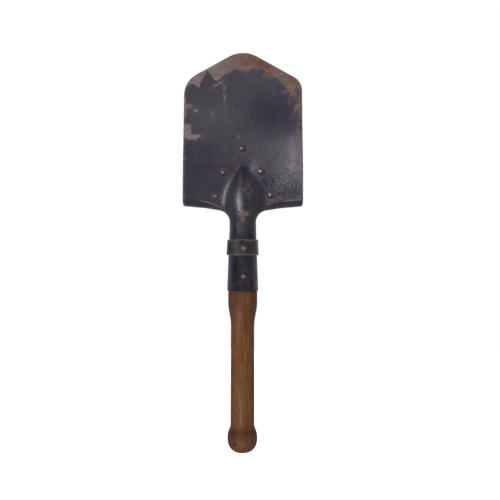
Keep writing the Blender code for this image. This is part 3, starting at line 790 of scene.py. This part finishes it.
def make_blade_rivet(name, x, z, number, material):
    """A domed rivet: hammered head in front, shank through both sheets, flat tail behind."""
    head, height, grip, shank, tail = 0.00475, 0.0022, 2 * FLANGE_Y, 0.0025, 0.0041
    turns = np.linspace(0, math.radians(86), 14)
    profile = [(head * math.sin(turn), height * math.cos(turn)) for turn in turns]
    profile[0] = (0.0, height)
    profile += [(head, -0.00005), (shank, -0.00005), (shank, -grip), (tail, -grip)]
    profile += [(tail + 0.0001, -grip - 0.0003), (tail, -grip - 0.0009)]
    profile += [(tail - 0.0005, -grip - 0.0012), (0.0, -grip - 0.0011)]

    def shift(points):
        px, py, pz = points.T
        seed = 2.3 * number + 0.6
        facets = 0.00017 * wobble(px, py, pz, 0.0026, seed) + 0.00007 * wobble(px, py, pz, 0.0011, seed + 2)
        oval = 0.00025 * math.cos(number) * (px / head) ** 2
        share = np.where(pz > 0, 0.4 + np.maximum(pz, 0) / height, 1)
        return np.column_stack([px * (1 + 0.03 * math.sin(seed)), py, pz + (facets - oval) * share])

    rivet = lathe(name, profile, 40, shift)
    points = points_of(rivet)
    reach = np.hypot(points[:, 0], points[:, 1]) / MM
    uneven = wobble(*points.T, 0.0022, 5.0 * number)
    rubbed_bare = name.endswith("low_left")
    write_fields(
        rivet,
        bare=1.9 - reach + 0.5 * uneven if rubbed_bare else -0.7 - reach / 5 + 0.8 * uneven,
        rust=0.25 + 0.5 * smooth(reach, 3.2, 4.6),
        scuff=np.clip(0.2 - reach / 9, 0, 1),
        # Painted shade: the head darkens towards its rim, where the dome turns down to the sheet.
        grime=smooth(reach, 3.4, 4.7),
        polish=1.0,
        warm=0.25 if rubbed_bare else 1.0,
        flaws=0.1,
    )
    rivet.data.transform(face_frame(x, z))
    rivet.data.materials.append(material)
    return rivet


def make_pin(name, place, rings, material, seed, bare, bare_fall):
    """A pin right through the socket, from (radius, y, diamond) rings, front to back. Its middle is bare,
    and paint starts bare / bare_fall millimetres out."""
    mesh = bmesh.new()
    loops = []
    for radius, y, diamond in rings:
        loop = []
        for angle in np.linspace(0, 2 * math.pi, 40, endpoint=False):
            c, s = math.cos(angle), math.sin(angle)
            square = 1 / (abs(c) ** 1.25 + abs(s) ** 1.25) ** (1 / 1.25)
            jitter = 0.05 * noise.noise(Vector((c * 1.5 + seed, s * 1.5, -y * 300))) * (radius > 0.0015)
            reach = radius * (1 + diamond * (square - 1)) * (1 + jitter)
            loop.append(mesh.verts.new((place[0] + reach * c, y, place[1] + reach * s)))
        loops.append(loop)
    for front, rear in zip(loops, loops[1:]):
        for i in range(len(front)):
            mesh.faces.new((front[i - 1], front[i], rear[i], rear[i - 1]))
    mesh.faces.new(loops[0][::-1])
    mesh.faces.new(loops[-1])
    bmesh.ops.recalc_face_normals(mesh, faces=mesh.faces)
    pin = new_piece(name, mesh)
    x, _, z = points_of(pin).T
    reach = np.hypot(x - place[0], z - place[1]) / MM
    write_fields(
        pin,
        bare=bare - bare_fall * reach,
        rust=0.12,
        scuff=0.0,
        grime=0.5 * smooth(reach, 2.0, 3.2),
        polish=0.0,
        warm=0.5,
        flaws=1.9,
    )
    pin.data.materials.append(material)
    pin.data.set_sharp_from_angle(angle=math.radians(40))
    return pin


def make_pins(material):
    front, rear = (corner[1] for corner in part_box("collar_rivet"))
    face = front + 0.0009
    hammered_head = [
        (0.0009, front + 0.00005, 1), (0.0021, front + 0.00015, 1), (0.0031, face - 0.00045, 1),
        (0.0035, face - 0.0001, 1), (0.0035, face + 0.0006, 1), (0.0018, face + 0.0006, 0),
        (0.0018, rear - 0.0014, 0), (0.0036, rear - 0.0014, 0), (0.0036, rear - 0.0003, 0),
        (0.0031, rear, 0), (0.0010, rear, 0),
    ]
    collar_pin = make_pin("collar_pin", COLLAR_PIN, hammered_head, material, 1.0, 2.8, 0.6)
    flush = float(socket_radius(SOCKET_PIN[1]))
    flush_ends = [
        (0.0010, -flush - 0.00015, 0), (0.0022, -flush - 0.0001, 0), (0.0029, -flush + 0.0001, 0),
        (0.00305, -flush + 0.0004, 0), (0.00305, flush - 0.0004, 0), (0.0028, flush, 0),
        (0.0010, flush + 0.0001, 0),
    ]
    socket_pin = make_pin("socket_pin", SOCKET_PIN, flush_ends, material, 6.0, 1.25, 0.36)
    return collar_pin, socket_pin


# ---------------- materials


class Nodes:
    """A material's or world's nodes, with a call for each kind of step that they are made of."""

    def __init__(self, owner):
        owner.use_nodes = True
        self.tree = owner.node_tree
        self.shader = self.tree.nodes.get("Principled BSDF")
        self.place = self.add("ShaderNodeTexCoord").outputs["Object"]

    def add(self, kind, **values):
        node = self.tree.nodes.new(kind)
        for key, value in values.items():
            setattr(node, key, value)
        return node

    def link(self, source, target):
        if isinstance(source, (int, float)):
            target.default_value = source
        elif isinstance(source, tuple):
            target.default_value = (*source, 1)
        else:
            self.tree.links.new(source, target)

    def moved(self, socket, value):
        """Object coordinates with a mapping's Location or Scale set."""
        mapping = self.add("ShaderNodeMapping")
        mapping.inputs[socket].default_value = value
        self.link(self.place, mapping.inputs["Vector"])
        return mapping.outputs["Vector"]

    def noise(self, scale, detail, roughness=0.55, along=1.0, across=1.0, distortion=0.0):
        """Noise. along under 1 draws it out along the handle's axis, and across under 1 from side to side."""
        node = self.add("ShaderNodeTexNoise")
        settings = {"Scale": scale, "Detail": detail, "Roughness": roughness, "Distortion": distortion}
        for key, number in settings.items():
            node.inputs[key].default_value = number
        self.link(self.moved("Scale", (across, 1.0, along)), node.inputs["Vector"])
        return node.outputs["Fac"]

    def spots(self, scale, along):
        node = self.add("ShaderNodeTexVoronoi")
        node.inputs["Scale"].default_value = scale
        self.link(self.moved("Scale", (1.0, 1.0, along)), node.inputs["Vector"])
        return node.outputs["Distance"]

    def field(self, name):
        return self.add("ShaderNodeAttribute", attribute_name=name).outputs["Fac"]

    def maths(self, operation, a, b, clamp=False):
        node = self.add("ShaderNodeMath", operation=operation, use_clamp=clamp)
        self.link(a, node.inputs[0])
        self.link(b, node.inputs[1])
        return node.outputs[0]

    def plus(self, a, b):
        return self.maths("ADD", a, b)

    def times(self, a, b, clamp=False):
        return self.maths("MULTIPLY", a, b, clamp)

    def between(self, value, low, high, out_low=0.0, out_high=1.0):
        """The value's place between low and high, clamped, from out_low to out_high."""
        node = self.add("ShaderNodeMapRange")
        for socket, number in zip(node.inputs[1:5], (low, high, out_low, out_high)):
            socket.default_value = number
        self.link(value, node.inputs["Value"])
        return node.outputs["Result"]

    def mix(self, factor, a, b):
        node = self.add("ShaderNodeMix", data_type="RGBA")
        self.link(factor, node.inputs["Factor"])
        self.link(a, node.inputs["A"])
        self.link(b, node.inputs["B"])
        return node.outputs["Result"]

    def layered(self, colour, layers):
        """The colour with each (amount, colour) layer over it in turn."""
        for amount, over in layers:
            colour = self.mix(amount, colour, over)
        return colour

    def bump(self, height, strength, distance, after=None):
        node = self.add("ShaderNodeBump")
        node.inputs["Strength"].default_value = strength
        node.inputs["Distance"].default_value = distance
        self.link(height, node.inputs["Height"])
        if after:
            self.link(after, node.inputs["Normal"])
        return node.outputs["Normal"]


# Two broad tones of the paint, its dark mottle and its pale streaks.
PAINT_TONES = ((0.027, 0.0245, 0.038), (0.038, 0.034, 0.051), (0.018, 0.0165, 0.026), (0.054, 0.049, 0.069))
COLLAR_TONES = ((0.018, 0.016, 0.020), (0.027, 0.024, 0.027), (0.012, 0.011, 0.014), (0.044, 0.038, 0.039))


def worn_paint(
    name, paint, seed, bare_field="bare", fray=2.2, matt=0.46, glossy=0.16, grain=1.0, specular=0.4
):
    """Old black paint over steel. Fields on the mesh say where it is bare, rusty, scuffed or dirty, and where
    shade and highlights are painted on. The shine field sets the specular level when specular is None."""
    material = bpy.data.materials.new(name)
    n = Nodes(material)
    n.place = n.moved("Location", (seed, seed * 0.7, seed * 0.3))
    fingers = n.noise(300, 5, 0.62, along=0.42)
    fine = n.noise(1100, 3, 0.6)
    feather = n.between(n.noise(850, 4, 0.7, along=0.35), 0.25, 0.75, -0.55 * fray, 0.55 * fray)
    ragged = n.plus(n.between(fingers, 0.25, 0.75, -fray, fray), feather)
    bare_depth = n.plus(n.field(bare_field), ragged)
    bare = n.between(bare_depth, -0.45, 0.60)
    thin = n.between(bare_depth, -4.0, -0.3, 0.0, 0.45)
    specks = n.between(n.noise(620, 6, 0.7), 0.755, 0.775)
    bare = n.maths("MAXIMUM", bare, n.times(specks, 0.4))

    broad = n.noise(28, 5, 0.6)
    streaks = n.noise(260, 4, 0.6, along=0.06)
    mottle = n.noise(160, 6, 0.65)
    hairlines = n.noise(950, 4, 0.7, along=0.045)
    blotches = n.noise(75, 4, 0.7, along=0.6)
    # This lays a paler grey where paint is scuffed and as painted highlights, and darkens where it is dirty
    # and as painted shade.
    scuff = n.times(n.field("scuff"), n.between(fine, 0.25, 0.6))
    dirt = n.times(n.field("grime"), n.between(mottle, 0.2, 0.6))
    dirt_colour = n.mix(n.between(streaks, 0.50, 0.70), (0.009, 0.009, 0.0135), (0.040, 0.026, 0.019))
    paint_colour = n.layered(paint[0], [
        (n.between(broad, 0.3, 0.7), paint[1]),
        (n.between(mottle, 0.35, 0.75, 0.0, 0.55), paint[2]),
        (n.between(streaks, 0.52, 0.80, 0.0, 0.35), paint[3]),
        (n.between(hairlines, 0.58, 0.72, 0.0, 0.5), (0.092, 0.084, 0.104)),
        (n.between(blotches, 0.40, 0.66, 0.0, 0.5), paint[2]),
        (scuff, (0.200, 0.180, 0.180)),
        (n.times(thin, n.between(fine, 0.35, 0.65)), (0.120, 0.095, 0.090)),
        (n.times(dirt, 0.8), dirt_colour),
    ])

    steel_mottle = n.noise(210, 7, 0.7, across=0.55)
    cool = n.mix(n.between(steel_mottle, 0.3, 0.72), (0.126, 0.095, 0.087), (0.288, 0.228, 0.214))
    warm = n.mix(n.between(steel_mottle, 0.3, 0.72), (0.098, 0.061, 0.046), (0.208, 0.138, 0.108))
    rust = n.times(n.field("rust"), n.between(n.noise(150, 6, 0.7), 0.28, 0.62), clamp=True)
    rust_colour = n.mix(n.between(mottle, 0.35, 0.65), (0.120, 0.042, 0.017), (0.190, 0.080, 0.034))
    flaw = n.times(n.field("flaws"), n.between(n.noise(430, 6, 0.78), 0.48, 0.40))
    steel = n.layered(cool, [
        (n.field("warm"), warm),
        (n.between(n.noise(900, 4, 0.7), 0.5, 0.72, 0.0, 0.5), (0.058, 0.040, 0.034)),
        (n.between(rust, 0.05, 0.75), rust_colour),
        (n.times(flaw, 0.8), (0.035, 0.026, 0.024)),
    ])
    stained = n.layered(paint_colour, [
        (n.between(rust, 0.2, 0.9, 0.0, 0.8), (0.130, 0.062, 0.032)),
        (n.times(flaw, 0.7), (0.010, 0.009, 0.013)),
    ])
    n.link(n.mix(bare, stained, steel), n.shader.inputs["Base Color"])

    paint_gloss = n.between(n.field("polish"), 0.0, 1.0, matt, glossy)
    for more in (
        n.between(broad, 0.3, 0.7, -0.03, 0.05),
        n.between(mottle, 0.35, 0.65, -0.05, 0.07),
        n.between(streaks, 0.4, 0.8, 0.0, 0.10),
        n.times(dirt, 0.2),
        n.times(flaw, 0.2),
    ):
        paint_gloss = n.plus(paint_gloss, more)
    steel_gloss = n.plus(n.between(steel_mottle, 0.3, 0.7, 0.60, 0.46), n.times(rust, 0.25))
    gloss = n.add("ShaderNodeMix", data_type="FLOAT")
    n.link(bare, gloss.inputs["Factor"])
    n.link(paint_gloss, gloss.inputs["A"])
    n.link(steel_gloss, gloss.inputs["B"])
    n.link(gloss.outputs["Result"], n.shader.inputs["Roughness"])
    n.link(n.times(bare, 0.35), n.shader.inputs["Metallic"])

    normal = n.bump(n.maths("SUBTRACT", 1.0, bare), 0.35, 0.00012)
    normal = n.bump(n.noise(520, 5, 0.75), 0.9, 0.00022 * grain, normal)
    pits = n.between(n.spots(520, along=0.8), 0.02, 0.20)
    normal = n.bump(n.maths("MAXIMUM", pits, n.between(mottle, 0.40, 0.55)), 0.20, 0.00015, normal)
    normal = n.bump(streaks, 0.16, 0.0001, normal)
    n.link(normal, n.shader.inputs["Normal"])
    if specular is None:
        level = n.maths("SUBTRACT", n.field("shine"), flaw)
        n.link(n.between(level, 0.0, 2.0), n.shader.inputs["Specular IOR Level"])
    else:
        n.shader.inputs["Specular IOR Level"].default_value = specular
    return material


def oiled_wood(name):
    """Turned ash or beech, darkened by hands: long grain, pores, stains and rubbed places, with painted shade
    down the sides and a painted highlight down the front.
    """
    material = bpy.data.materials.new(name)
    n = Nodes(material)
    warp = n.noise(60, 3, 0.5, along=0.15)
    rings = n.noise(340, 5, 0.6, along=0.035, distortion=0.6)
    fibres = n.noise(1500, 4, 0.7, along=0.02)
    flecks = n.noise(1100, 2, 0.5, along=0.06)
    tone = n.plus(n.between(rings, 0.3, 0.7, 0.0, 0.75), n.between(warp, 0.3, 0.7, 0.0, 0.35))
    # Lightened where hands rubbed the wood and by a painted highlight down the front; darkened by real stains
    # and by painted shade on the sides.
    rub = n.times(n.field("rub"), n.between(n.noise(420, 5, 0.7, along=0.25), 0.35, 0.7))
    stain = n.times(n.field("stain"), n.between(n.noise(210, 6, 0.7), 0.3, 0.62, 0.4, 1.1))
    scratches = n.between(n.noise(300, 4, 0.7, along=1.6), 0.64, 0.70)
    colour = n.layered((0.072, 0.023, 0.008), [
        (tone, (0.172, 0.070, 0.023)),
        (n.between(fibres, 0.46, 0.66, 0.0, 0.75), (0.215, 0.108, 0.045)),
        (n.between(fibres, 0.46, 0.32, 0.0, 0.85), (0.034, 0.012, 0.005)),
        (n.between(flecks, 0.59, 0.70, 0.0, 0.60), (0.026, 0.011, 0.006)),
        (n.times(rub, 0.8), (0.250, 0.168, 0.122)),
        (n.times(stain, 0.78, clamp=True), (0.036, 0.020, 0.015)),
        (n.times(scratches, 0.6), (0.190, 0.120, 0.082)),
    ])
    n.link(colour, n.shader.inputs["Base Color"])
    gloss = n.plus(n.between(rings, 0.3, 0.7, 0.50, 0.64), n.times(rub, -0.06))
    n.link(gloss, n.shader.inputs["Roughness"])
    n.shader.inputs["Specular IOR Level"].default_value = 0.07
    normal = n.bump(fibres, 0.35, 0.00016)
    normal = n.bump(rings, 0.20, 0.0002, normal)
    normal = n.bump(n.between(flecks, 0.60, 0.70, 1.0, 0.0), 0.4, 0.00015, normal)
    n.link(normal, n.shader.inputs["Normal"])
    return material


# ---------------- stage


def make_floor():
    mesh = bmesh.new()
    bmesh.ops.create_grid(mesh, x_segments=8, y_segments=8, size=4.0)
    floor = new_piece("pale_floor", mesh)
    floor.location = (0, 0, HANDLE_LOW[2] - 0.060)
    material = bpy.data.materials.new("pale_floor")
    n = Nodes(material)
    tint = n.mix(n.between(n.noise(3, 2), 0.3, 0.7), (0.90, 0.90, 0.90), (0.93, 0.93, 0.93))
    n.link(tint, n.shader.inputs["Base Color"])
    n.shader.inputs["Roughness"].default_value = 0.9
    n.shader.inputs["Emission Color"].default_value = (1, 1, 1, 1)
    seen = n.add("ShaderNodeLightPath").outputs["Is Camera Ray"]
    n.link(n.between(seen, 0.0, 1.0, 0.25, 0.9), n.shader.inputs["Emission Strength"])
    floor.data.materials.append(material)
    floor.visible_glossy = False


LIT_POINT = (0, 0, -0.03)


def area_light(name, azimuth, elevation, distance, size, power, colour=(1.0, 1.0, 1.0)):
    """A soft box. Azimuth 0 is in front of the shovel and negative is to the left of the camera."""
    a, e = math.radians(azimuth), math.radians(elevation)
    back = Vector((math.sin(a) * math.cos(e), -math.cos(a) * math.cos(e), math.sin(e)))
    light = bpy.data.lights.new(name, "AREA")
    light.shape = "RECTANGLE"
    light.size, light.size_y = size
    light.energy = power
    light.color = colour
    lamp = new_object(name, light)
    lamp.location = Vector(LIT_POINT) + back * distance
    lamp.rotation_mode = "QUATERNION"
    lamp.rotation_quaternion = back.to_track_quat("Z", "Y")


def make_lights():
    area_light("key_upper_left", -26, 9, 1.6, (0.74, 0.90), 12.3, (1.0, 0.955, 1.0))
    area_light("rear_top", 170, 55, 1.8, (1.4, 0.8), 8)


def make_world():
    """White behind the object, and a soft surround that is darker on the camera's side."""
    world = bpy.data.worlds.new("studio")
    bpy.context.scene.world = world
    n = Nodes(world)
    direction = n.add("ShaderNodeSeparateXYZ")
    n.link(n.add("ShaderNodeTexCoord").outputs["Generated"], direction.inputs[0])
    from_above = n.between(direction.outputs["Z"], -0.40, 0.15, 0.08, 0.42)
    from_behind = n.between(direction.outputs["Y"], -0.20, 0.80, 0.0, 0.60)
    surround = n.add("ShaderNodeBackground")
    n.link((0.96, 0.93, 1.0), surround.inputs["Color"])
    n.link(n.plus(from_above, from_behind), surround.inputs["Strength"])
    backdrop = n.tree.nodes["Background"]
    n.link((1, 1, 1), backdrop.inputs["Color"])
    seen = n.add("ShaderNodeMixShader")
    n.link(n.add("ShaderNodeLightPath").outputs["Is Camera Ray"], seen.inputs["Fac"])
    n.link(surround.outputs[0], seen.inputs[1])
    n.link(backdrop.outputs[0], seen.inputs[2])
    n.link(seen.outputs[0], n.tree.nodes["World Output"].inputs["Surface"])


def make_camera():
    """Straight on to the working face, far off with a long lens. The frame is 625 mm wide."""
    view_width = 0.625
    data = bpy.data.cameras.new("camera")
    data.lens = 150
    data.clip_end = 50
    camera = new_object("camera", data)
    distance = view_width * data.lens / data.sensor_width
    camera.location = (0.00905, -distance, -0.0493)
    camera.rotation_euler = (math.pi / 2, math.radians(-0.12), 0)
    bpy.context.scene.camera = camera
    bpy.context.scene.view_settings.view_transform = "Standard"


# ---------------- assembly


def hand_over(piece, node):
    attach(piece, "root")
    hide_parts(node)


def main():
    front_paint = worn_paint("blade_paint_front", PAINT_TONES, 0.0, specular=None)
    rear_paint = worn_paint("blade_paint_rear", PAINT_TONES, 0.37, "bare_back")
    strap_paint = worn_paint("strap_paint", PAINT_TONES, 0.71, fray=1.4)
    collar_paint = worn_paint("collar_paint", COLLAR_TONES, 0.13, fray=0.55, matt=0.56)
    rivet_paint = worn_paint(
        "rivet_paint", COLLAR_TONES, 0.29, fray=0.6, glossy=0.0, grain=0.15, specular=0.75
    )
    pin_steel = worn_paint("pin_steel", COLLAR_TONES, 0.53, fray=0.5)
    hand_over(make_blade([front_paint, rear_paint]), "blade")
    hand_over(make_strap([strap_paint, strap_paint]), "rear_strap")
    hand_over(make_collar(collar_paint), "collar")
    hand_over(make_handle(oiled_wood("handle_wood")), "handle")
    for number, (place, (x, z)) in enumerate(RIVETS.items()):
        rivet = make_blade_rivet(f"domed_rivet_{place}", x, z, number + 1, rivet_paint)
        hand_over(rivet, f"blade_rivet_{place}")
    collar_pin, socket_pin = make_pins(pin_steel)
    hand_over(collar_pin, "collar_rivet")
    hand_over(socket_pin, "socket_rivet")
    make_floor()
    make_lights()
    make_world()
    make_camera()


main()
